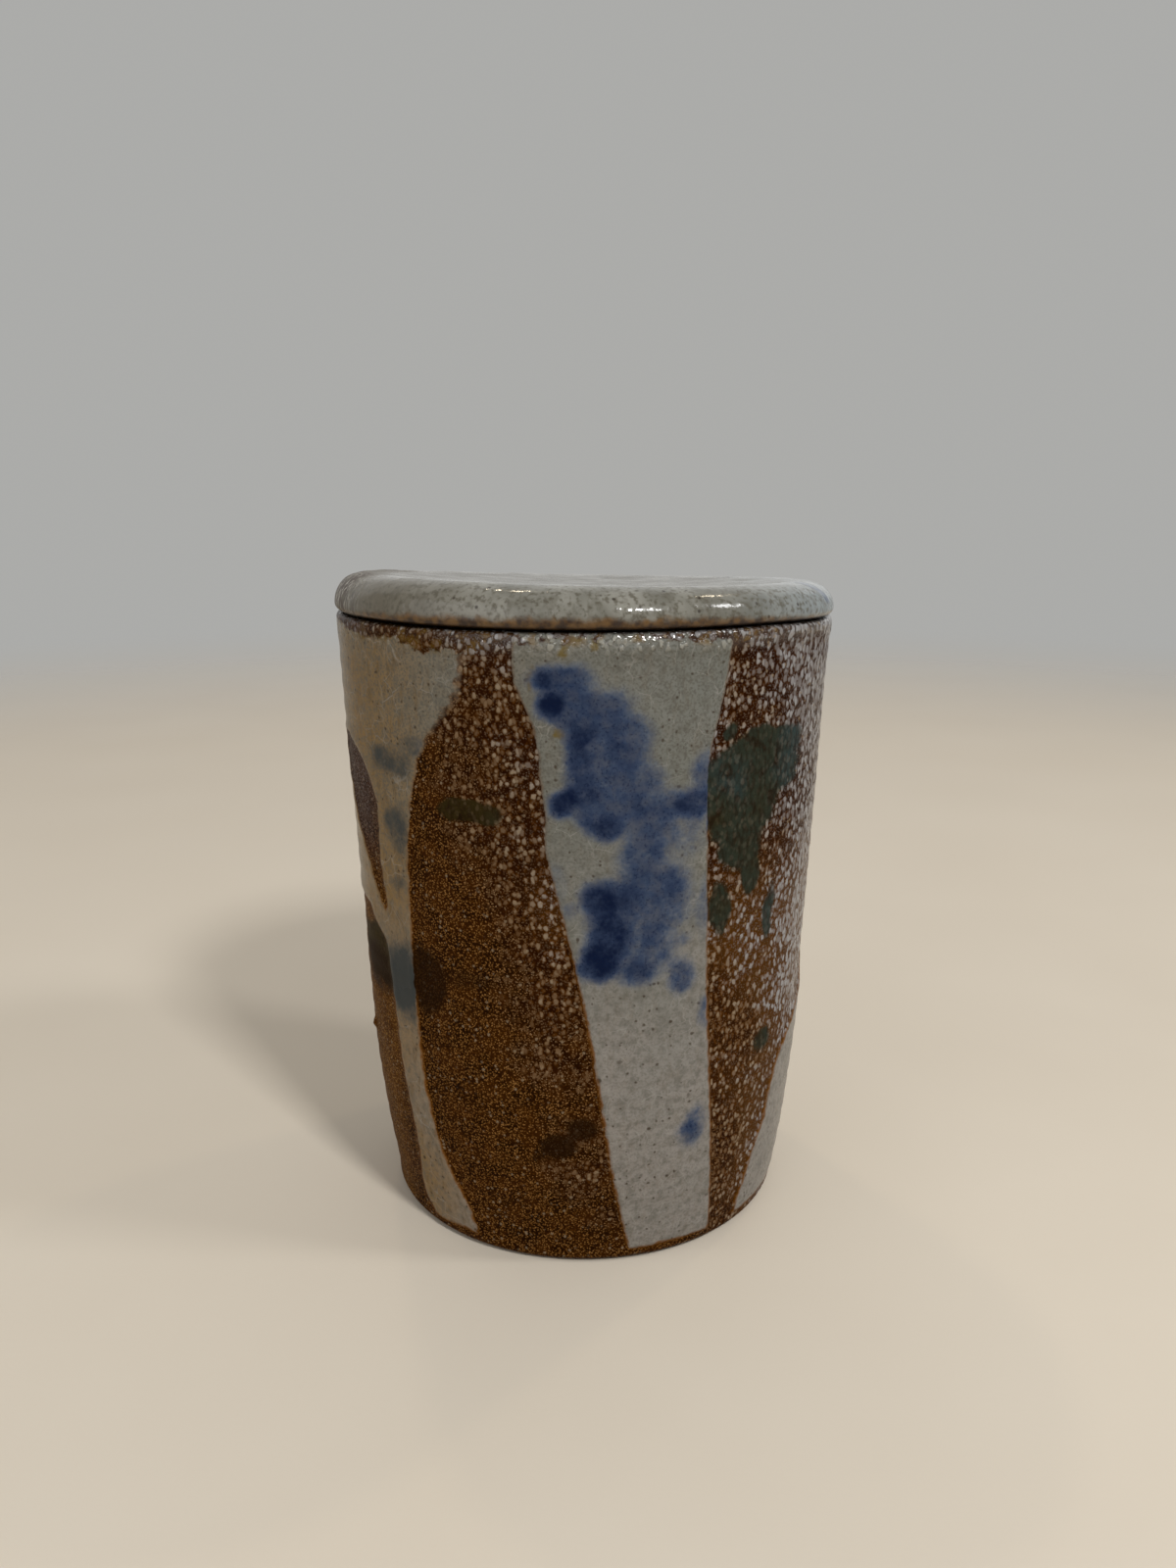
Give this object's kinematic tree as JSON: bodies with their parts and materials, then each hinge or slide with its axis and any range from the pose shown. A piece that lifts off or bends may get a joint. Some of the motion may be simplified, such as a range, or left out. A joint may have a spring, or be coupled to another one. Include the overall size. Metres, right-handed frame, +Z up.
{
  "type": "lidded ceramic pot",
  "caption": "Wheel-thrown stoneware pot with gently flared sides and a loose, dished, roll-edged lid that lifts off; stands on its flat base and holds dry goods.",
  "frame": {"origin": "middle of the pot's base, on the surface that it stands on", "axes": "+Z up along the turning axis; -Y faces the picture's camera"},
  "size_m": [0.0962, 0.0962, 0.1262],
  "materials": {
    "salt_glazed_clay": "salt glaze over brown clay with pale slip panels",
    "grey_glaze": "glossy grey glaze"
  },
  "bodies": {
    "pot": {"pot_body": "salt_glazed_clay"},
    "lid": {"lid": "grey_glaze"}
  },
  "joints": [
    {"name": "lid_lift", "type": "slide", "parent": "pot", "child": "lid", "axis": [0, 0, 1], "range_m": [0, 0.06]}
  ]
}
